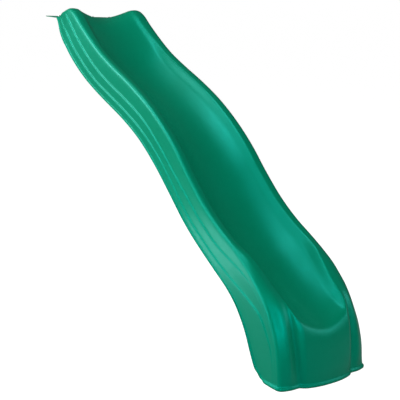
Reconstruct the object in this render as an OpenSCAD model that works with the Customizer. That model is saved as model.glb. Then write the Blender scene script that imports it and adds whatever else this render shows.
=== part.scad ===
// Straight wave slide for a raised play deck.
// One moulded chute with rails, skirts, exit apron and deck flange,
// held to the deck by lag screws with flat washers.
// Units are millimetres. X runs across the slide, the exit faces -Y and Z is up.
// The origin is on the deck's surface, in the middle of the row of screws.

/* [Chute] */
// Height of the deck surface that the flange lies on
deck_height = 1524; // [1450:1:1600]
// Length on plan, from the front of the foot to the back of the flange
plan_length = 2600; // [2450:1:2750]
// Width over the lip of the foot
foot_width = 551; // [530:1:580]
// Wall thickness of the moulding
wall = 5; // [4:0.5:6]
// Width of the lip that runs round the lower edge
lip_width = 9; // [7:0.5:11]
// Width of the top face of each rail
rail_top = 47; // [42:1:52]
// How far each ledge on the skirts steps out
ledge_step = 6; // [4:0.5:7]
// How far the top of each rail is crowned
rail_crown = 4; // [2:0.5:5]

/* [Deck flange] */
// Width of the flange
flange_width = 500; // [470:1:510]
// Corner radius at the back of the flange
flange_corner = 40; // [20:1:60]

/* [Fasteners] */
// Number of lag screws across the flange
screw_count = 4; // [2:1:4]
// Distance from one screw to the next
screw_pitch = 120; // [100:1:130]
// Distance from the back of the flange to the screws
screw_inset = 80; // [60:1:100]
// Thread diameter of a screw
screw_d = 6.2; // [5:0.1:7]
// Length of a screw below its washer
screw_length = 38; // [30:1:50]
// Outside diameter of a washer
washer_d = 19; // [17:1:25]
// Thickness of a washer
washer_t = 1.6; // [1.2:0.1:2]

/* [Hidden] */

// Lines of the slide at stations from the deck to the foot, at its standard size.
// y is the distance from the front of the foot and z the height of the rail's outer edge.
// The skirt hangs from that edge: upper ledge, lower ledge and hem are distances down it,
// and lean turns it backwards, from 0 upright to 90 flat on the ground.
// mid, side and inner are the middle and side of the bed and the rail's inner edge:
// how far each lies below the outer edge and, round the exit, how far forward of it.
//   y     z  lean upper lower hem   mid side inner   forward: mid side inner
stations = [
    [2600, 1529,  0,   0,   0,   0,    0,   0,   0,     0,   0,   0],
    [2500, 1529,  0,   0,   0,   0,    0,   0,   0,     0,   0,   0],
    [2422, 1529,  0,   0,   0,   0,    0,   0,   0,     0,   0,   0],
    [2382, 1537,  0,   0,   6,  40,    8,  -1,   0,     0,   0,   0],
    [2345, 1555,  0,   2,  34, 102,   26,   1,  -2,     0,   0,   0],
    [2300, 1573,  0,   8,  88, 160,   44,   5,  -3,     0,   0,   0],
    [2240, 1585,  0,  54, 140, 215,   58,  13,  -3,     0,   0,   0],
    [2180, 1565,  0,  88, 176, 243,   60,  20,  -1,     0,   0,   0],
    [2100, 1510,  0,  98, 179, 242,   60,  24,   0,     0,   0,   0],
    [1990, 1440,  0, 105, 178, 234,   74,  28,   0,     0,   0,   0],
    [1850, 1361,  0, 106, 170, 217,  112,  42,   0,     0,   0,   0],
    [1680, 1288,  0, 104, 160, 207,  132,  49,   0,     0,   0,   0],
    [1500, 1219,  0, 100, 157, 203,  132,  49,   0,     0,   0,   0],
    [1320, 1139,  0,  97, 156, 206,  132,  49,   0,     0,   0,   0],
    [1150, 1040,  0, 108, 161, 218,  135,  50,   0,     0,   0,   0],
    [1000,  930,  0, 116, 172, 227,  138,  51,   0,     0,   0,   0],
    [ 860,  804,  0,  96, 168, 215,  138,  51,   0,     0,   0,   0],
    [ 730,  699,  0,  86, 150, 196,  137,  51,   0,     0,   0,   0],
    [ 590,  612,  0,  80, 143, 190,  142,  52,   0,     0,   0,   0],
    [ 480,  558,  0,  66, 140, 196,  145,  52,  -3,     0,   0,   0],
    [ 388, 509,  5,  46, 124, 203,  146,  62, -14,     5,   6,   6],
    [ 322, 468, 12,  36, 108, 209,  138,  70,   4,    14,  17,  21],
    [ 263, 421, 18,  30,  88, 214,  119,  64,  12,    26,  31,  34],
    [ 213, 375, 23,  28,  70, 222,   97,  52,   4,    58,  55,  48],
    [ 174, 326, 28,  28,  60, 222,   72,  22, -21,    98,  78,  41],
    [ 142, 276, 33,  28,  54, 215,   52,   2, -35,    92,  70,  34],
    [ 113, 225, 39,  28,  50, 204,   46,   4, -30,    76,  60,  29],
    [  91, 168, 48,  28,  48, 182,   38,   8, -22,    64,  50,  27],
    [  74, 108, 60,  28,  48, 150,   26,   8, -10,    56,  41,  24],
    [  63,  48, 75,  28,  48, 122,   10,   4,  -4,    50,  34,  21],
    [  55,  15, 90,  28,  48, 105,    0,   0,   0,    44,  26,  14]
];
flat_stations = 2;   // the first spans are the flat flange, which need no points between
span_steps = 2;      // surface rows in each other span

// Half widths of the lines that run along the slide
hem_x = foot_width / 2 - lip_width;
outer_x = hem_x - 2 * ledge_step - 2.5;
inner_x = outer_x - rail_top;
side_x = inner_x - 27;
deck_draw = 14;       // how far the rail's inner edge and the bed's side draw in at the deck
exit_draw = 30;       // and round the exit
inner_draw = 24;      // and how much further from there to the ground, the inner edge
side_draw = 17;       // and the bed's side
bed_steps = [0, 0.22, 0.44, 0.64, 0.82, 1];   // shares of the bed's half width that carry a line
edge_round = 12;      // rounding of the rail's outer edge
foot_round = 24;      // rounding of the foot's front corners
inner_round = 8;      // rounding of the rail's inner edge
pillar_crown = 9;     // extra crown where the rail rolls down into the foot
groove = 18;          // depth of the groove on each side of the exit panel
ledge_fall = 3;       // how much a ledge falls while it steps out
foot_fan = 3;         // spread of the lip where the hem meets the ground

front_y = plan_length - screw_inset;   // from the origin to the front of the foot
screw_hole_r = screw_d / 2 + 0.4;
head_across = 11.1;   // across the flats of a screw's head
head_h = 4.4;
point_h = 7;          // length of a screw's point
neck_d = screw_d - 0.4;      // plain neck above the thread
neck_h = washer_t + wall + 1;  // it ends just below the flange

function clamp(v, low, high) = max(low, min(high, v));

// Smooth curve through the stations: the slope at a station weighs both spans by their length
function span(i) = norm([stations[i + 1][0] - stations[i][0], stations[i + 1][1] - stations[i][1]]);
last = len(stations) - 1;
function slope(i) =
    i == 0 ? (stations[1] - stations[0]) / span(0) :
    i == last ? (stations[last] - stations[last - 1]) / span(last - 1) :
    let (a = span(i - 1), b = span(i))
    ((stations[i] - stations[i - 1]) * b / a + (stations[i + 1] - stations[i]) * a / b) / (a + b);
function lines_at(i, u) =
    u == 0 ? stations[i] :
    let (h = span(i), v = u * u, w = v * u)
    (2 * w - 3 * v + 1) * stations[i] + (w - 2 * v + u) * h * slope(i)
    + (3 * v - 2 * w) * stations[i + 1] + (w - v) * h * slope(i + 1);

// Half of the section, from the middle of the bed to the lip: [x, backwards, down] from the edge
function half_section(s) =
    let (
        lean = s[2], upper = s[3], lower = s[4], hem = s[5],
        flat = clamp(1 - hem / 200 - lean / 10, 0, 1),
        turned = clamp(lean / 90, 0, 1),
        front = clamp((lean - 24) / 16, 0, 1) * (1 - 0.75 * clamp((lean - 60) / 30, 0, 1)),
        nose = min(90, 2.2 * lean),
        down = [sin(lean), cos(lean)],
        out = [-sin(nose), -cos(nose)],
        curve = 2 - 0.3 * clamp(lean / 28, 0, 1) + 0.7 * clamp((lean - 28) / 40, 0, 1)
            - 0.3 * clamp((s[0] - 2150) / 150, 0, 1),
        crown = rail_crown * (1 - flat) * clamp((100 - lean) / 30, 0, 1)
            + pillar_crown * clamp((lean - 8) / 18, 0, 1) * clamp((88 - lean) / 35, 0, 1),
        step_1 = max(0.8, ledge_step * (1 - clamp(lean / 16, 0, 1))),
        step_2 = max(0.8, ledge_step * (1 - clamp((lean - 26) / 30, 0, 1))),
        x_hem = hem_x * (1 - flat) + (flange_width - lip_width) / 2 * flat,
        x_low = x_hem - 0.5 - 3 * flat,
        x_low_in = x_low - step_2 * (1 - flat) - 3.5 * flat,
        x_up = x_low_in - 1 - 2.5 * flat,
        x_up_in = x_up - step_1 * (1 - flat) - 3.5 * flat,
        x_out = x_up_in - 1 - 2.5 * flat,
        edge = min(edge_round + (foot_round - edge_round) * turned, upper / 2),
        edge_x = edge_round * (1 - 0.5 * flat) + (foot_round - edge_round) * turned,
        top_end = clamp((s[0] - 1900) / 250, 0, 1),
        drawn = deck_draw * top_end + exit_draw * clamp(lean / 20, 0, 1),
        x_side = side_x - drawn - side_draw * turned,
        x_in = inner_x - drawn - inner_draw * turned,
        mid = [-s[9], s[6]],
        side = [-s[10], s[7]],
        inner = [-s[11], s[8]],
        reach = inner_round / norm([x_in - x_side, side[0] - inner[0], side[1] - inner[1]]),
        inner_1 = inner + (side - inner) * reach,
        edge_1 = out * crown * 0.5,
        inner_3 = inner * 0.78 + edge_1 * 0.22 - out * groove * front,
        inner_2 = (inner_1 + 2 * inner + inner_3) / 4,
        top = (inner + edge_1) / 2 + out * crown * 0.6
    )
    concat(
        [for (f = bed_steps) let (p = mid + (side - mid) * pow(f, curve)) [x_side * f, p[0], p[1]]],
        [[x_in + (x_side - x_in) * reach, inner_1[0], inner_1[1]]],
        [[x_in, inner_2[0], inner_2[1]]],
        [[x_in + inner_round, inner_3[0], inner_3[1]]],
        [[(x_in + x_out) / 2, top[0], top[1]]],
        [[x_out - edge_x, edge_1[0], edge_1[1]]],
        [let (p = down * 0.3 * edge + out * crown * 0.2) [x_out - 0.3 * edge_x, p[0], p[1]]],
        [for (q = [[x_out, edge], [x_up_in, upper], [x_up, min(upper + ledge_fall, hem)],
                   [x_low_in, lower], [x_low, min(lower + ledge_fall, hem)],
                   [x_hem, hem], [x_hem + lip_width * (1 - flat / 2), hem]])
            [q[0], down[0] * q[1], down[1] * q[1]]]
    );

// A section point placed in the slide's frame, at its real size
function placed(s, p, side) =
    let (y = (s[0] + p[1]) * plan_length / stations[0][0],
        z = (s[1] - p[2]) * (deck_height + wall) / stations[0][1])
    [side * p[0], y - front_y, z - deck_height];

// Rounds the back corners of the flange
function back_corner(p) =
    let (over = abs(p[0]) - flange_width / 2 + flange_corner)
    over <= 0 ? p :
    [p[0], p[1] - flange_corner + sqrt(max(0, pow(flange_corner, 2) - over * over)), p[2]];

function section(s) =
    let (half = half_section(s), n = len(half))
    concat(
        [for (k = [n - 1:-1:1]) placed(s, half[k], -1)],
        [for (k = [0:n - 1]) placed(s, half[k], 1)]
    );

rows = concat(
    [[for (p = section(stations[0])) back_corner(p)]],
    [for (i = [0:last - 1]) let (steps = i < flat_stations ? 1 : span_steps)
        for (k = [1:steps]) section(k == steps ? stations[i + 1] : lines_at(i, k / steps))]
);
cols = len(rows[0]);
ground = rows[len(rows) - 1];

// The foot's lip: the last row moved outwards on plan, and its two ends fanned round to meet the hem
function outward(j) = let (d = ground[j + 1] - ground[j - 1]) [d[1], -d[0], 0] / norm(d);
function foot_end(j, fan) = ground[j] + [sign(ground[j][0]) * lip_width, fan, 0];
foot_lip = [for (j = [0:cols - 1])
    j == 0 ? foot_end(1, 0) + [-0.5, 0, 0] :
    j == cols - 1 ? foot_end(cols - 2, 0) + [0.5, 0, 0] :
    j == 1 || j == cols - 2 ? foot_end(j, -foot_fan) :
    ground[j] + outward(j) * lip_width];
ground_fanned = [for (j = [0:cols - 1])
    j == 0 ? foot_end(1, foot_fan) : j == cols - 1 ? foot_end(cols - 2, foot_fan) : ground[j]];
skin = concat([for (i = [0:len(rows) - 2]) rows[i]], [ground_fanned, foot_lip]);
n_rows = len(skin);

// Mitred normal at a skin point, so that the wall keeps its thickness round every corner
function unit(v) = v / norm(v);
function face_normal(i, j) =
    unit(cross(skin[i + 1][j + 1] - skin[i][j], skin[i][j + 1] - skin[i + 1][j]));
function near_normals(i, j) = [
    for (a = [max(i - 1, 0):min(i, n_rows - 2)]) for (b = [max(j - 1, 0):min(j, cols - 2)])
        face_normal(a, b)];
function total(list, k = 0) = k == len(list) - 1 ? list[k] : list[k] + total(list, k + 1);
function mitre(i, j) =
    let (around = near_normals(i, j), mean = unit(total(around)),
        reach = total([for (n = around) n * mean]) / len(around))
    mean / max(reach, 0.5);
lining = [for (i = [0:n_rows - 1]) [for (j = [0:cols - 1])
    let (p = skin[i][j] - wall * mitre(i, j))
    i >= n_rows - 2 ? [p[0], p[1], -deck_height] : p]];

module shell() {
    points = concat([for (row = skin) each row], [for (row = lining) each row]);
    under = n_rows * cols;
    quads = concat(
        [for (i = [0:n_rows - 2]) for (j = [0:cols - 2])
            [i * cols + j, i * cols + j + 1, (i + 1) * cols + j + 1, (i + 1) * cols + j]],
        [for (i = [0:n_rows - 2]) for (j = [0:cols - 2])
            [under + i * cols + j, under + (i + 1) * cols + j,
             under + (i + 1) * cols + j + 1, under + i * cols + j + 1]],
        [for (j = [0:cols - 2]) let (e = (n_rows - 1) * cols)
            each [[j + 1, j, under + j, under + j + 1],
                  [e + j, e + j + 1, under + e + j + 1, under + e + j]]],
        [for (i = [0:n_rows - 2]) let (a = i * cols, b = (i + 1) * cols, c = cols - 1)
            each [[a, b, under + b, under + a],
                  [b + c, a + c, under + a + c, under + b + c]]]
    );
    polyhedron(points, [for (q = quads) each [[q[0], q[1], q[2]], [q[0], q[2], q[3]]]], 10);
}

// Places its child at each screw position, on top of the flange
module at_screws() {
    for (k = [0:screw_count - 1])
        translate([(k - (screw_count - 1) / 2) * screw_pitch, 0, wall]) children();
}

module chute() {
    color("seagreen")
    difference() {
        shell();
        at_screws() translate([0, 0, -2 * wall]) cylinder(h = 3 * wall, r = screw_hole_r, $fn = 48);
    }
}

module lag_screw() {
    shank = screw_length - point_h;
    translate([0, 0, washer_t]) {
        cylinder(h = head_h, d = head_across / cos(30), $fn = 6);
        translate([0, 0, -neck_h]) cylinder(h = neck_h, d = neck_d, $fn = 48);
        translate([0, 0, -shank - washer_t]) cylinder(h = shank + washer_t - neck_h, d = screw_d, $fn = 48);
    }
    translate([0, 0, -screw_length]) cylinder(h = point_h, d1 = 0.6, d2 = screw_d, $fn = 48);
}

module deck_screws() {
    color("silver") at_screws() lag_screw();
}

module deck_washers() {
    color("silver") at_screws()
    difference() {
        cylinder(h = washer_t, d = washer_d, $fn = 64);
        translate([0, 0, -1]) cylinder(h = washer_t + 2, r = screw_hole_r, $fn = 48);
    }
}

chute();
deck_screws();
deck_washers();
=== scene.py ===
import math
import random

import bmesh
import bpy
from mathutils import Matrix, Vector


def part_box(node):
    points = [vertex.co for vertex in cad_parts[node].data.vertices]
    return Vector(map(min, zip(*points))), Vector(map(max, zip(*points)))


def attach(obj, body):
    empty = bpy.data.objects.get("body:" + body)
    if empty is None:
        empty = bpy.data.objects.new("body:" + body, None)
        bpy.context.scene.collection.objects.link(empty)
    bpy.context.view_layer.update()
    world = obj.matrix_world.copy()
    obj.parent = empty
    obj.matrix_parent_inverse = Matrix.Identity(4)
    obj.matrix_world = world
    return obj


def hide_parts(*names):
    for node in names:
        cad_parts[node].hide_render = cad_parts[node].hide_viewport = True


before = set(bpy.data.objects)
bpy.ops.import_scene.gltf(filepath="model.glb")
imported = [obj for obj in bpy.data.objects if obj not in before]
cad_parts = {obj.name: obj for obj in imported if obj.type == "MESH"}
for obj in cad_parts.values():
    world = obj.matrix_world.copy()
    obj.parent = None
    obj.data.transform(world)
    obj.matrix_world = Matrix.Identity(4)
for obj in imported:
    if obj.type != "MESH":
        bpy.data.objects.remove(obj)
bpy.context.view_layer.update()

mm = 0.001
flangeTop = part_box("deck_washers")[0][2]
chuteLow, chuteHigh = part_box("chute")
groundLevel = chuteLow[2]
footFront = chuteHigh[1] - 2600 * mm   # where the stations' y is zero
bpy.ops.object.select_all(action="DESELECT")


def clamp(value, low=0.0, high=1.0):
    return max(low, min(high, value))


def finishPiece(piece, node):
    # the piece takes the place of its node
    bpy.context.view_layer.objects.active = piece
    piece.select_set(True)
    bpy.ops.object.transform_apply(location=True, rotation=True, scale=True)
    piece.select_set(False)
    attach(piece, "root")
    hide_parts(node)


def applyModifier(piece, name):
    bpy.ops.object.select_all(action="DESELECT")
    bpy.context.view_layer.objects.active = piece
    piece.select_set(True)
    bpy.ops.object.modifier_apply(modifier=name)
    piece.select_set(False)


def newMaterial(name):
    material = bpy.data.materials.new(name)
    material.use_nodes = True
    tree = material.node_tree
    return material, tree, tree.nodes["Principled BSDF"]


def mapped(tree, scale):
    # places on the piece itself, stretched by scale
    place = tree.nodes.new("ShaderNodeTexCoord")
    mapping = tree.nodes.new("ShaderNodeMapping")
    mapping.inputs["Scale"].default_value = scale
    tree.links.new(place.outputs["Object"], mapping.inputs["Vector"])
    return mapping.outputs["Vector"]


def noise(tree, vector, scale, detail=3.0, roughness=0.5):
    node = tree.nodes.new("ShaderNodeTexNoise")
    node.inputs["Scale"].default_value = scale
    node.inputs["Detail"].default_value = detail
    node.inputs["Roughness"].default_value = roughness
    tree.links.new(vector, node.inputs["Vector"])
    return node.outputs["Fac"]


def spread(tree, value, fromLow, fromHigh, toLow, toHigh):
    node = tree.nodes.new("ShaderNodeMapRange")
    node.inputs["From Min"].default_value = fromLow
    node.inputs["From Max"].default_value = fromHigh
    node.inputs["To Min"].default_value = toLow
    node.inputs["To Max"].default_value = toHigh
    tree.links.new(value, node.inputs["Value"])
    return node.outputs["Result"]


def combine(tree, operation, first, second):
    node = tree.nodes.new("ShaderNodeMath")
    node.operation = operation
    for socket, value in zip(node.inputs, (first, second)):
        if isinstance(value, (int, float)):
            socket.default_value = value
        else:
            tree.links.new(value, socket)
    return node.outputs["Value"]


def mixColor(tree, amount, first, second):
    node = tree.nodes.new("ShaderNodeMix")
    node.data_type = "RGBA"
    if isinstance(amount, (int, float)):
        node.inputs[0].default_value = amount
    else:
        tree.links.new(amount, node.inputs[0])
    for socket, value in ((node.inputs[6], first), (node.inputs[7], second)):
        if isinstance(value, tuple):
            socket.default_value = (*value, 1.0)
        else:
            tree.links.new(value, socket)
    return node.outputs[2]


def bumped(tree, height, strength, distance, under=None):
    node = tree.nodes.new("ShaderNodeBump")
    node.inputs["Strength"].default_value = strength
    node.inputs["Distance"].default_value = distance
    tree.links.new(height, node.inputs["Height"])
    if under:
        tree.links.new(under, node.inputs["Normal"])
    return node.outputs["Normal"]


plasticLook = {
    "green": (0.0, 0.245, 0.128),
    "paleGreen": (0.0, 0.262, 0.142),
    "deepGreen": (0.0, 0.222, 0.112),
    "scuffGreen": (0.03, 0.34, 0.21),
    "sheen": (0.0, 1.0, 0.92),
    "specular": 0.9,
    "roughness": 0.36,
}


def makePlastic(look):
    material, tree, shader = newMaterial("chute plastic")
    straight = mapped(tree, (1, 1, 1))
    along = mapped(tree, (60, 1.2, 1.2))   # long fine marks that follow the ride
    cloud = noise(tree, straight, 2.4, 4.0, 0.55)
    mottle = noise(tree, straight, 34.0, 3.0, 0.6)
    tone = mixColor(tree, spread(tree, cloud, 0.3, 0.7, 0.0, 1.0), look["deepGreen"], look["paleGreen"])
    tone = mixColor(tree, spread(tree, mottle, 0.35, 0.65, 0.25, 0.6), tone, look["green"])
    marks = noise(tree, along, 5.0, 6.0, 0.72)
    scuff = spread(tree, marks, 0.63, 0.74, 0.0, 0.16)
    tone = mixColor(tree, scuff, tone, look["scuffGreen"])
    tree.links.new(tone, shader.inputs["Base Color"])
    base = spread(tree, mottle, 0.3, 0.7, look["roughness"] - 0.035, look["roughness"] + 0.05)
    worn = combine(tree, "MULTIPLY", scuff, 0.9)
    tree.links.new(combine(tree, "ADD", base, worn), shader.inputs["Roughness"])
    peel = noise(tree, straight, 210.0, 2.0, 0.5)
    grain = noise(tree, straight, 900.0, 2.0, 0.5)
    normal = bumped(tree, peel, 0.06, 0.0006)
    normal = bumped(tree, grain, 0.05, 0.0002, normal)
    normal = bumped(tree, marks, 0.05, 0.0004, normal)
    tree.links.new(normal, shader.inputs["Normal"])
    shader.inputs["IOR"].default_value = 1.54
    shader.inputs["Specular IOR Level"].default_value = look["specular"]
    shader.inputs["Specular Tint"].default_value = (*look["sheen"], 1.0)
    return material


zincLook = {
    "bright": (0.74, 0.75, 0.76),
    "dull": (0.50, 0.52, 0.53),
    "warm": (0.70, 0.68, 0.60),
    "roughness": 0.30,
}


def makeZinc(name, look, lift):
    material, tree, shader = newMaterial(name)
    straight = mapped(tree, (1, 1, 1))
    patches = noise(tree, straight, 260.0, 4.0, 0.6)
    film = noise(tree, straight, 70.0, 2.0, 0.5)
    tone = mixColor(tree, spread(tree, patches, 0.3, 0.7, 0.0, 1.0), look["dull"], look["bright"])
    tone = mixColor(tree, spread(tree, film, 0.4, 0.7, 0.0, 0.35), tone, look["warm"])
    tree.links.new(tone, shader.inputs["Base Color"])
    rough = spread(tree, patches, 0.3, 0.7, look["roughness"] + lift, look["roughness"] + lift + 0.16)
    tree.links.new(rough, shader.inputs["Roughness"])
    fine = noise(tree, straight, 1500.0, 2.0, 0.5)
    tree.links.new(bumped(tree, fine, 0.15, 0.0001), shader.inputs["Normal"])
    shader.inputs["Metallic"].default_value = 1.0
    return material


chutePlastic = makePlastic(plasticLook)
screwZinc = makeZinc("bright zinc screws", zincLook, 0.0)
washerZinc = makeZinc("bright zinc washers", zincLook, 0.05)
print("materials made")


# One moulded sheet, loft through stations from the deck to the foot. Lengths in millimetres.
# y is the distance from the front of the foot and z the height of the rail's outer edge.
# The skirt hangs from that edge: upper ledge, lower ledge and hem are distances down it, and
# lean turns it backwards. mid, side and inner are the middle and side of the bed and the rail's
# inner edge: how far below the outer edge and, round the exit, how far forward of it.
chuteShape = {
    #     y     z  lean upper lower hem   mid side inner   forward: mid side inner
    "stations": [
        (2600, 1529, 0, 0, 0, 0, 0, 0, 0, 0, 0, 0),
        (2500, 1529, 0, 0, 0, 0, 0, 0, 0, 0, 0, 0),
        (2422, 1529, 0, 0, 0, 0, 0, 0, 0, 0, 0, 0),
        (2382, 1537, 0, 0, 6, 40, 8, -1, 0, 0, 0, 0),
        (2345, 1555, 0, 2, 34, 102, 26, 1, -2, 0, 0, 0),
        (2300, 1573, 0, 8, 88, 160, 44, 5, -3, 0, 0, 0),
        (2240, 1585, 0, 54, 140, 215, 58, 13, -3, 0, 0, 0),
        (2180, 1565, 0, 88, 176, 243, 60, 20, -1, 0, 0, 0),
        (2100, 1510, 0, 98, 179, 242, 60, 24, 0, 0, 0, 0),
        (1990, 1440, 0, 105, 178, 234, 74, 28, 0, 0, 0, 0),
        (1850, 1361, 0, 106, 170, 217, 112, 42, 0, 0, 0, 0),
        (1680, 1288, 0, 104, 160, 207, 132, 49, 0, 0, 0, 0),
        (1500, 1219, 0, 100, 157, 203, 132, 49, 0, 0, 0, 0),
        (1320, 1139, 0, 97, 156, 206, 132, 49, 0, 0, 0, 0),
        (1150, 1040, 0, 108, 161, 218, 135, 50, 0, 0, 0, 0),
        (1000, 930, 0, 116, 172, 227, 138, 51, 0, 0, 0, 0),
        (860, 804, 0, 96, 168, 215, 138, 51, 0, 0, 0, 0),
        (730, 699, 0, 86, 150, 196, 137, 51, 0, 0, 0, 0),
        (590, 612, 0, 80, 143, 190, 142, 52, 0, 0, 0, 0),
        (480, 558, 0, 66, 140, 196, 145, 52, -3, 0, 0, 0),
        (388, 509, 5, 46, 124, 203, 146, 62, -14, 5, 6, 6),
        (322, 468, 12, 36, 108, 209, 138, 70, 4, 14, 17, 21),
        (263, 421, 18, 30, 88, 214, 119, 64, 12, 26, 31, 34),
        (213, 375, 23, 28, 70, 222, 97, 52, 4, 58, 55, 48),
        (174, 326, 28, 28, 60, 222, 72, 22, -21, 98, 78, 41),
        (142, 276, 33, 28, 54, 215, 52, 2, -35, 92, 70, 34),
        (113, 225, 39, 28, 50, 204, 46, 4, -30, 76, 60, 29),
        (91, 168, 48, 28, 48, 182, 38, 8, -22, 64, 50, 27),
        (74, 108, 60, 28, 48, 150, 26, 8, -10, 56, 41, 24),
        (63, 48, 75, 28, 48, 122, 10, 4, -4, 50, 34, 21),
        (55, 15, 90, 28, 48, 105, 0, 0, 0, 44, 26, 14),
    ],
    "footWidth": 551.0,
    "wall": 5.0,
    "lipWidth": 9.0,
    "lipDrop": 3.0,        # how far the lip turns down along the skirts
    "footLipDrop": 15.0,   # and round the foot
    "railTop": 47.0,
    "ledgeStep": 6.0,
    "ledgeFall": 3.0,
    "ledgeRound": 3.2,
    "railCrown": 4.0,
    "deckDraw": 14.0,      # how far the rail's inner edge draws in at the deck
    "exitDraw": 30.0,      # and round the exit
    "innerDraw": 24.0,     # and how much further down to the ground
    "sideDraw": 17.0,      # the same for the bed's side
    "edgeRound": 12.0,
    "footRound": 24.0,
    "innerRound": 8.0,
    "pillarCrown": 9.0,
    "groove": 18.0,
    "flangeWidth": 500.0,
    "flangeCorner": 40.0,
    "bedLines": 12,
    "rowStep": 27.0,
    "frontRowStep": 15.0,
}


def stationSpan(stations, i):
    return math.hypot(stations[i + 1][0] - stations[i][0], stations[i + 1][1] - stations[i][1])


def stationSlope(stations, i):
    last = len(stations) - 1
    if i == 0 or i == last:
        k = min(i, last - 1)
        return [(b - a) / stationSpan(stations, k) for a, b in zip(stations[k], stations[k + 1])]
    before, after = stationSpan(stations, i - 1), stationSpan(stations, i)
    return [
        ((b - a) * after / before + (c - b) * before / after) / (before + after)
        for a, b, c in zip(stations[i - 1], stations[i], stations[i + 1])
    ]


def stationAt(stations, i, u):
    # the lines' values at a share u of the way from one station to the next
    h, v, w = stationSpan(stations, i), u * u, u * u * u
    ends = zip(stations[i], stationSlope(stations, i), stations[i + 1], stationSlope(stations, i + 1))
    return [
        (2 * w - 3 * v + 1) * a + (w - 2 * v + u) * h * p + (3 * v - 2 * w) * b + (w - v) * h * q
        for a, p, b, q in ends
    ]


def ledgePoints(xIn, xOut, depth, shape, room):
    # four lines round a ledge: hollow corner, then rounded nose
    r, fall = shape["ledgeRound"] * room, shape["ledgeFall"] * room
    step = xOut - xIn
    return [
        (xIn, depth - r),
        (xIn + 0.12 * step, depth - 0.1 * r),
        (xOut - 0.10 * step, depth + fall),
        (xOut, depth + fall + r),
    ]


def halfSection(s, shape):
    # from the middle of the bed to the hem: (x, back, down) from the rail's outer edge
    lean, upper, lower, hem = s[2:6]
    lean = clamp(lean, 0, 90)
    upper, lower, hem = max(upper, 0), max(lower, 0), max(hem, 0)
    flat = clamp(1 - hem / 200 - lean / 10)
    turned = lean / 90
    front = clamp((lean - 24) / 16) * (1 - 0.75 * clamp((lean - 60) / 30))
    turn, nose = math.radians(lean), math.radians(min(90, 2.2 * lean))
    downBack, downDown = math.sin(turn), math.cos(turn)
    outBack, outDown = -math.sin(nose), -math.cos(nose)
    curve = 2.0 - 0.3 * clamp(lean / 28) + 0.7 * clamp((lean - 28) / 40)
    curve -= 0.3 * clamp((s[0] - 2150) / 150)
    crown = shape["railCrown"] * (1 - flat) * clamp((100 - lean) / 30)
    crown += shape["pillarCrown"] * clamp((lean - 8) / 18) * clamp((88 - lean) / 35)
    stepUp = max(0.8, shape["ledgeStep"] * (1 - clamp(lean / 16)))
    stepLow = max(0.8, shape["ledgeStep"] * (1 - clamp((lean - 26) / 30)))
    hemX = shape["footWidth"] / 2 - shape["lipWidth"]
    outerX = hemX - 2 * shape["ledgeStep"] - 2.5
    innerX = outerX - shape["railTop"]
    drawn = shape["deckDraw"] * clamp((s[0] - 1900) / 250) + shape["exitDraw"] * clamp(lean / 20)
    sideX = innerX - 27 - drawn - shape["sideDraw"] * turned
    innerX -= drawn + shape["innerDraw"] * turned
    xHem = hemX * (1 - flat) + (shape["flangeWidth"] - shape["lipWidth"]) / 2 * flat
    xLow = xHem - 0.5 - 3 * flat
    xLowIn = xLow - stepLow * (1 - flat) - 3.5 * flat
    xUp = xLowIn - 1 - 2.5 * flat
    xUpIn = xUp - stepUp * (1 - flat) - 3.5 * flat
    xOut = xUpIn - 1 - 2.5 * flat
    rounding = shape["edgeRound"] + (shape["footRound"] - shape["edgeRound"]) * turned
    edge = min(rounding, upper / 2)
    edgeX = rounding - shape["edgeRound"] * 0.5 * flat

    mid = Vector((0, -s[9], s[6]))
    side = Vector((sideX, -s[10], s[7]))
    inner = Vector((innerX, -s[11], s[8]))
    out = Vector((0, outBack, outDown))
    points = []
    for k in range(shape["bedLines"] + 1):
        f = k / shape["bedLines"]
        p = mid.lerp(side, f ** curve)
        points.append(Vector((sideX * f, p[1], p[2])))
    reach = shape["innerRound"] / (side - inner).length
    innerOne = inner + (side - inner) * reach
    edgeOne = Vector((xOut - edgeX, 0, 0)) + out * crown * 0.5
    innerThree = Vector((innerX + shape["innerRound"], inner[1] * 0.78 + edgeOne[1] * 0.22,
                         inner[2] * 0.78 + edgeOne[2] * 0.22)) - out * shape["groove"] * front
    top = (inner + edgeOne) / 2 + out * crown * 0.6
    top[0] = (innerX + xOut) / 2
    points.append(side.lerp(innerOne, 0.5))
    points.append(innerOne)
    points.append(Vector((innerX, (innerOne[1] + 2 * inner[1] + innerThree[1]) / 4,
                          (innerOne[2] + 2 * inner[2] + innerThree[2]) / 4)))
    points.append(innerThree)
    points.append(innerThree.lerp(top, 0.5) + out * crown * 0.1)
    points.append(top)
    points.append(top.lerp(edgeOne, 0.55) + out * crown * 0.08)
    points.append(edgeOne)
    down = [(xOut - 0.3 * edgeX, 0.3 * edge)]
    down.append((xOut, edge))
    roomUp = clamp((upper - edge) / 20)
    roomLow = clamp((lower - upper) / 20)
    roomHem = clamp((hem - lower) / 20)
    nearUp = ledgePoints(xUpIn, xUp, upper, shape, min(roomUp, roomLow))
    nearLow = ledgePoints(xLowIn, xLow, lower, shape, min(roomLow, roomHem))
    down.append(((xOut + xUpIn) / 2, (edge + nearUp[0][1]) / 2))
    down += nearUp
    down.append(((xUp + xLowIn) / 2, (nearUp[3][1] + nearLow[0][1]) / 2))
    down += nearLow
    lowest = hem - 6 * roomHem
    down.append(((xLow + xHem) / 2 - 0.2, (nearLow[3][1] + lowest) / 2))
    down.append((xHem - 0.1 - 0.9 * flat, lowest))
    down.append((xHem, hem))
    for k, (x, d) in enumerate(down):
        p = Vector((x, downBack * d, downDown * d))
        if k == 0:
            p += out * crown * 0.2
        points.append(p)
    return points


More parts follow.
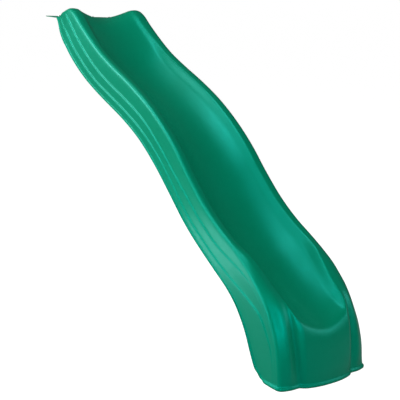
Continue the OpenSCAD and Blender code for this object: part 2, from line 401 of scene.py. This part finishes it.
def backOutline(x, shape):
    # how far forward of the flange's back edge the outline lies at x
    over = abs(x) - shape["flangeWidth"] / 2 + shape["flangeCorner"]
    if over <= 0:
        return 0.0
    return shape["flangeCorner"] - math.sqrt(max(0.0, shape["flangeCorner"] ** 2 - over * over))


def chuteRows(shape):
    stations = shape["stations"]
    rows = [list(stations[0])]
    for i in range(len(stations) - 1):
        step = shape["frontRowStep"] if stations[i][2] > 0 or i < 7 else shape["rowStep"]
        count = max(1, round(stationSpan(stations, i) / step))
        for k in range(1, count + 1):
            rows.append(list(stations[i + 1]) if k == count else stationAt(stations, i, k / count))
    return rows


def placeChutePoint(s, p, side, shape):
    y, z = s[0] + p[1], s[1] - p[2]
    flangeStart = shape["stations"][2][0]
    if s[0] > flangeStart:
        share = (s[0] - flangeStart) / (shape["stations"][0][0] - flangeStart)
        y -= backOutline(p[0], shape) * share
    return Vector((side * p[0] * mm, y * mm + footFront, z * mm + groundLevel))


def makeChute(shape):
    rows = chuteRows(shape)
    sections = [halfSection(s, shape) for s in rows]
    half = len(sections[0])
    wide, long = 2 * half - 1, len(rows)
    bpy.ops.mesh.primitive_grid_add(x_subdivisions=wide - 1, y_subdivisions=long - 1, size=1.0)
    piece = bpy.context.active_object
    piece.name = "moulded_chute"
    for i, vertex in enumerate(piece.data.vertices):
        row, column = divmod(i, wide)
        j = column - (half - 1)
        s = rows[long - 1 - row]
        vertex.co = placeChutePoint(s, sections[long - 1 - row][abs(j)], -1 if j < 0 else 1, shape)

    # the lip: the free edge of skirts and foot, drawn outwards and then down
    mesh = bmesh.new()
    mesh.from_mesh(piece.data)
    mesh.verts.ensure_lookup_table()
    groundRow = set(range(wide))
    sideColumns = {r * wide + c for r in range(long) for c in (0, wide - 1)}
    free = [e for e in mesh.edges if e.is_boundary and all(
        v.index in groundRow or v.index in sideColumns for v in e.verts) and not all(
        v.index >= (long - 1) * wide for v in e.verts)]
    outward, drops = {}, {}
    for vertex in {v for e in free for v in e.verts}:
        row, column = divmod(vertex.index, wide)
        s = rows[long - 1 - row]
        flat = clamp(1 - s[5] / 200 - s[2] / 10)
        sign = -1 if column < half - 1 else 1
        width = shape["lipWidth"] * (1 - flat / 2)
        if row == 0 and 0 < column < wide - 1:
            before, after = mesh.verts[column - 1].co, mesh.verts[column + 1].co
            d = (after - before).normalized()
            outward[vertex.index] = Vector((d.y, -d.x, 0)) * width * mm
        else:
            outward[vertex.index] = Vector((sign * width * mm, 0, 0))
        deep = shape["lipDrop"] * (1 - flat) + 0.4 * flat
        if row == 0:
            drops[vertex.index] = Vector((0, 0, -shape["footLipDrop"] * mm))
        else:
            here = sections[long - 1 - row][-1]
            there = sections[max(0, long - 2 - row)][-1]
            upRow = rows[max(0, long - 2 - row)]
            forward = (upRow[0] + there[1]) - (s[0] + here[1])
            rise = (upRow[1] - there[2]) - (s[1] - here[2])
            run = Vector((0, forward, rise))
            run.normalize()
            drops[vertex.index] = Vector((0, run.z, -run.y)) * deep * mm
    originals = {v: v.index for e in free for v in e.verts}
    for move in (outward, drops):
        made = bmesh.ops.extrude_edge_only(mesh, edges=free)["geom"]
        newEdges = [g for g in made if isinstance(g, bmesh.types.BMEdge)]
        newVerts = [g for g in made if isinstance(g, bmesh.types.BMVert)]
        fresh = {}
        for v in newVerts:
            # each new vertex starts at the same place as the one it was drawn from
            for e in v.link_edges:
                other = e.other_vert(v)
                if other in originals and (other.co - v.co).length < 1e-9:
                    fresh[v] = originals[other]
        for v, index in fresh.items():
            v.co += move[index]
        originals = fresh
        free = [e for e in newEdges if all(v in fresh for v in e.verts)]
    bmesh.ops.recalc_face_normals(mesh, faces=mesh.faces)
    mesh.normal_update()
    if sum(f.normal.z * f.calc_area() for f in mesh.faces) < 0:
        bmesh.ops.reverse_faces(mesh, faces=mesh.faces)
    mesh.to_mesh(piece.data)
    mesh.free()

    shell = piece.modifiers.new("wall", "SOLIDIFY")
    shell.thickness = shape["wall"] * mm
    shell.offset = -1.0
    shell.use_even_offset = True
    shell.thickness_clamp = 0.0
    applyModifier(piece, "wall")
    smooth = piece.modifiers.new("smooth", "SUBSURF")
    smooth.levels = 1
    smooth.render_levels = 1
    applyModifier(piece, "smooth")
    piece.data.shade_smooth()
    piece.data.materials.clear()
    piece.data.materials.append(chutePlastic)
    print("chute made:", len(piece.data.polygons), "faces")
    return piece


chute = makeChute(chuteShape)
finishPiece(chute, "chute")


screwShape = {
    "count": 4,
    "pitch": 0.120,
    "shankRadius": 0.0031,
    "coreRadius": 0.0023,
    "length": 0.038,
    "pointLength": 0.007,
    "threadPitch": 0.0028,
    "headAcross": 0.0111,
    "headHeight": 0.0044,
    "collarRadius": 0.0068,
    "collarHeight": 0.0010,
    "collarSides": 40,
    "collarSoften": 0.0003,
    "headSoften": 0.0002,
    "rimInset": 0.0010,      # the head's raised rim, and the dish inside it
    "rimRise": 0.0004,
    "dishInset": 0.0014,
    "neckLength": 0.004,     # plain below the head, before the thread
    "neckRun": 0.002,        # over which the thread comes up
    "neckFill": 0.6,         # the neck's share of the thread's depth
    "crestSharpness": 3.4,
    "pointShare": 0.06,      # the point's end, as a share of the shank
    "pointRadius": 0.0002,   # and never thinner than this
    "turnSteps": 20,
    "rowsPerTurn": 6,
}
washerShape = {"radius": 0.0095, "hole": 0.0035, "height": 0.0016, "soften": 0.0003, "sides": 48}


def makeScrew(shape, base):
    # hex head with a collar, on a threaded shank that ends in a point
    bpy.ops.mesh.primitive_cylinder_add(
        vertices=6, radius=shape["headAcross"] / 2 / math.cos(math.pi / 6), depth=shape["headHeight"],
        location=(0, 0, base + shape["headHeight"] / 2))
    head = bpy.context.active_object
    bpy.ops.object.mode_set(mode="EDIT")
    bpy.ops.mesh.select_all(action="DESELECT")
    mesh = bmesh.from_edit_mesh(head.data)
    for face in mesh.faces:
        face.select_set(face.normal.z > 0.9)
    bmesh.update_edit_mesh(head.data)
    bpy.ops.mesh.inset(thickness=shape["rimInset"], depth=0.0)
    bpy.ops.transform.translate(value=(0, 0, shape["rimRise"]))
    bpy.ops.mesh.inset(thickness=shape["dishInset"], depth=-shape["rimRise"])
    bpy.ops.mesh.select_all(action="SELECT")
    bpy.ops.object.mode_set(mode="OBJECT")
    soften = head.modifiers.new("soften", "BEVEL")
    soften.width = shape["headSoften"]
    soften.segments = 2
    applyModifier(head, "soften")

    bpy.ops.mesh.primitive_cylinder_add(
        vertices=shape["collarSides"], radius=shape["collarRadius"], depth=shape["collarHeight"],
        location=(0, 0, base + shape["collarHeight"] / 2))
    collar = bpy.context.active_object
    soften = collar.modifiers.new("soften", "BEVEL")
    soften.width = shape["collarSoften"]
    soften.segments = 2
    applyModifier(collar, "soften")

    steps, turns = shape["turnSteps"], shape["length"] / shape["threadPitch"]
    rows = round(turns * shape["rowsPerTurn"])
    bpy.ops.mesh.primitive_cylinder_add(vertices=steps, radius=shape["shankRadius"], depth=1.0,
                                        end_fill_type="NOTHING")
    shank = bpy.context.active_object
    mesh = bmesh.new()
    rings = []
    for r in range(rows + 1):
        depth = shape["length"] * r / rows
        taper = clamp((shape["length"] - depth) / shape["pointLength"])
        ring = []
        for k in range(steps):
            phase = (depth / shape["threadPitch"] - k / steps) % 1.0
            crest = clamp(1 - abs(phase - 0.5) * shape["crestSharpness"])
            smoothNeck = clamp((depth - shape["neckLength"]) / shape["neckRun"])
            radius = shape["coreRadius"] + (shape["shankRadius"] - shape["coreRadius"]) * (
                crest * smoothNeck + (1 - smoothNeck) * shape["neckFill"])
            radius *= shape["pointShare"] + (1 - shape["pointShare"]) * taper
            radius = max(shape["pointRadius"], radius)
            angle = 2 * math.pi * k / steps
            ring.append(mesh.verts.new((radius * math.cos(angle), radius * math.sin(angle), base - depth)))
        rings.append(ring)
    for a, b in zip(rings, rings[1:]):
        for k in range(steps):
            n = (k + 1) % steps
            mesh.faces.new((a[k], a[n], b[n], b[k]))
    mesh.faces.new(rings[0])
    mesh.faces.new(list(reversed(rings[-1])))
    bmesh.ops.recalc_face_normals(mesh, faces=mesh.faces)
    mesh.to_mesh(shank.data)
    mesh.free()
    bpy.ops.object.select_all(action="DESELECT")
    for part in (head, collar, shank):
        part.select_set(True)
    bpy.context.view_layer.objects.active = head
    bpy.ops.object.join()
    bpy.ops.object.transform_apply(location=True, rotation=True, scale=True)
    bpy.ops.object.shade_smooth_by_angle(angle=math.radians(35))
    bpy.ops.object.select_all(action="DESELECT")
    return bpy.context.view_layer.objects.active


def makeWasher(shape, base):
    bpy.ops.mesh.primitive_cylinder_add(vertices=shape["sides"], radius=shape["radius"],
                                        depth=shape["height"], location=(0, 0, base + shape["height"] / 2))
    washer = bpy.context.active_object
    bpy.ops.object.mode_set(mode="EDIT")
    bpy.ops.mesh.select_all(action="DESELECT")
    mesh = bmesh.from_edit_mesh(washer.data)
    for face in mesh.faces:
        face.select_set(abs(face.normal.z) > 0.9)
    bmesh.update_edit_mesh(washer.data)
    bpy.ops.mesh.inset(thickness=shape["radius"] - shape["hole"])
    bpy.ops.mesh.bridge_edge_loops()
    bpy.ops.mesh.select_all(action="DESELECT")
    bpy.ops.object.mode_set(mode="OBJECT")
    soften = washer.modifiers.new("soften", "BEVEL")
    soften.width = shape["soften"]
    soften.segments = 2
    applyModifier(washer, "soften")
    bpy.ops.object.select_all(action="DESELECT")
    bpy.context.view_layer.objects.active = washer
    washer.select_set(True)
    bpy.ops.object.transform_apply(location=True, rotation=True, scale=True)
    bpy.ops.object.shade_smooth_by_angle(angle=math.radians(35))
    washer.select_set(False)
    return washer


def inARow(model, shape, name, material, turns):
    # copies of one model across the flange, joined as one set
    copies = []
    for k in range(shape["count"]):
        copy = model.copy()
        copy.data = model.data.copy()
        bpy.context.scene.collection.objects.link(copy)
        x = (k - (shape["count"] - 1) / 2) * shape["pitch"]
        copy.data.transform(Matrix.Translation((x, 0, 0)) @ Matrix.Rotation(turns[k], 4, "Z"))
        copies.append(copy)
    bpy.data.objects.remove(model)
    bpy.ops.object.select_all(action="DESELECT")
    for copy in copies:
        copy.select_set(True)
    bpy.context.view_layer.objects.active = copies[0]
    bpy.ops.object.join()
    whole = bpy.context.view_layer.objects.active
    whole.name = name
    whole.data.materials.clear()
    whole.data.materials.append(material)
    bpy.ops.object.select_all(action="DESELECT")
    return whole


turns = [random.Random(7 + k).uniform(0, math.pi / 3) for k in range(screwShape["count"])]
screws = inARow(makeScrew(screwShape, flangeTop + washerShape["height"]), screwShape,
                "deck_lag_screws", screwZinc, turns)
finishPiece(screws, "deck_screws")
washers = inARow(makeWasher(washerShape, flangeTop), screwShape, "deck_flat_washers", washerZinc, turns)
finishPiece(washers, "deck_washers")
print("screws and washers made")


studio = {
    "floorSize": 400.0,
    "floorMiddle": -1.2,    # along the slide
    "floorGap": 0.0005,     # below the foot, so that the two faces don't meet
    "floorColor": (0.38, 0.38, 0.38),
    "floorSeen": 0.98,      # the floor's own brightness to the eye
    "floorLight": 0.05,     # and as a light
    "skyColor": (1.0, 1.0, 1.0),
    "skySeen": 1.0,
    "skyLight": 0.05,
    # softboxes: place, what it points at, size and power
    "boxes": {
        "strip softbox": ((-1.0, -0.9, 2.2), (-1.0, -0.9, -1.0), (0.8, 3.4), 19.0),
        "upper softbox": ((-1.5, -0.9, 2.2), (0, -1.2, -0.7), (1.4, 2.0), 28.0),
        "key softbox": ((-2.6, -0.9, 1.35), (0, -1.2, -0.7), (1.6, 2.4), 9.0),
        "side softbox": ((-3.0, -1.3, -0.3), (0, -1.3, -0.7), (1.4, 2.4), 37.0),
        "deck softbox": ((-2.3, 1.0, 0.8), (0, -1.0, -0.6), (1.4, 1.6), 46.0),
        "left fill": ((-2.0, -4.7, 0.3), (0, -2.4, -1.2), (1.6, 1.6), 32.0),
        "front fill": ((0.2, -5.2, 0.3), (0, -2.4, -1.2), (1.6, 1.6), 14.0),
        "right fill": ((2.2, -4.0, 0.4), (0, -2.2, -1.0), (1.6, 1.6), 16.0),
        "low softbox": ((-0.82, -1.42, -1.22), (-0.26, -2.1, -1.05), (0.75, 0.30), 1.5),
    },
}


def seenAndLight(tree, seen, light):
    # one strength to the eye, another as a light
    paths = tree.nodes.new("ShaderNodeLightPath")
    return spread(tree, paths.outputs["Is Camera Ray"], 0, 1, light, seen)


def makeFloor(look):
    middle = (0, look["floorMiddle"], groundLevel - look["floorGap"])
    bpy.ops.mesh.primitive_plane_add(size=look["floorSize"], location=middle)
    floor = bpy.context.active_object
    floor.name = "studio_floor"
    material, tree, shader = newMaterial("pale floor")
    shader.inputs["Base Color"].default_value = (*look["floorColor"], 1.0)
    shader.inputs["Roughness"].default_value = 0.9
    shader.inputs["Specular IOR Level"].default_value = 0.0
    shader.inputs["Emission Color"].default_value = (1.0, 1.0, 1.0, 1.0)
    strength = seenAndLight(tree, look["floorSeen"], look["floorLight"])
    tree.links.new(strength, shader.inputs["Emission Strength"])
    floor.data.materials.append(material)
    floor.select_set(False)


def makeSky(look):
    world = bpy.data.worlds.new("studio")
    bpy.context.scene.world = world
    world.use_nodes = True
    tree = world.node_tree
    sky = tree.nodes["Background"]
    sky.inputs["Color"].default_value = (*look["skyColor"], 1.0)
    strength = seenAndLight(tree, look["skySeen"], look["skyLight"])
    tree.links.new(strength, sky.inputs["Strength"])


def addSoftbox(name, place, target, size, power):
    light = bpy.data.lights.new(name, "AREA")
    light.shape = "RECTANGLE"
    light.size, light.size_y = size
    light.energy = power
    holder = bpy.data.objects.new(name, light)
    bpy.context.scene.collection.objects.link(holder)
    holder.location = place
    holder.rotation_euler = (Vector(target) - Vector(place)).to_track_quat("-Z", "Y").to_euler()
    holder.visible_camera = False


makeFloor(studio)
makeSky(studio)
for name, (place, target, size, power) in studio["boxes"].items():
    addSoftbox(name, place, target, size, power)
bpy.context.scene.view_settings.view_transform = "Standard"

cameraSet = {
    "place": (-2.538, -2.5365, 1.6919),   # from the ground under the exit's ridge
    "azimuth": -35.26,
    "elevation": 13.77,
    "roll": 2.71,
    "lens": 74.53,
}


def addCamera(look):
    a, e, roll = (math.radians(look[k]) for k in ("azimuth", "elevation", "roll"))
    ahead = Vector((-math.sin(a) * math.cos(e), math.cos(a) * math.cos(e), -math.sin(e)))
    level = Vector((math.cos(a), math.sin(a), 0))
    lift = level.cross(ahead)
    right = math.cos(roll) * level + math.sin(roll) * lift
    up = -math.sin(roll) * level + math.cos(roll) * lift
    camera = bpy.data.cameras.new("camera")
    camera.lens = look["lens"]
    camera.sensor_width = 36.0
    holder = bpy.data.objects.new("camera", camera)
    bpy.context.scene.collection.objects.link(holder)
    turn = Matrix((right, up, -ahead)).transposed().to_4x4()
    ridge = Vector((0, footFront + 0.060, groundLevel))
    holder.matrix_world = Matrix.Translation(ridge + Vector(look["place"])) @ turn
    bpy.context.scene.camera = holder


addCamera(cameraSet)
print("studio made")
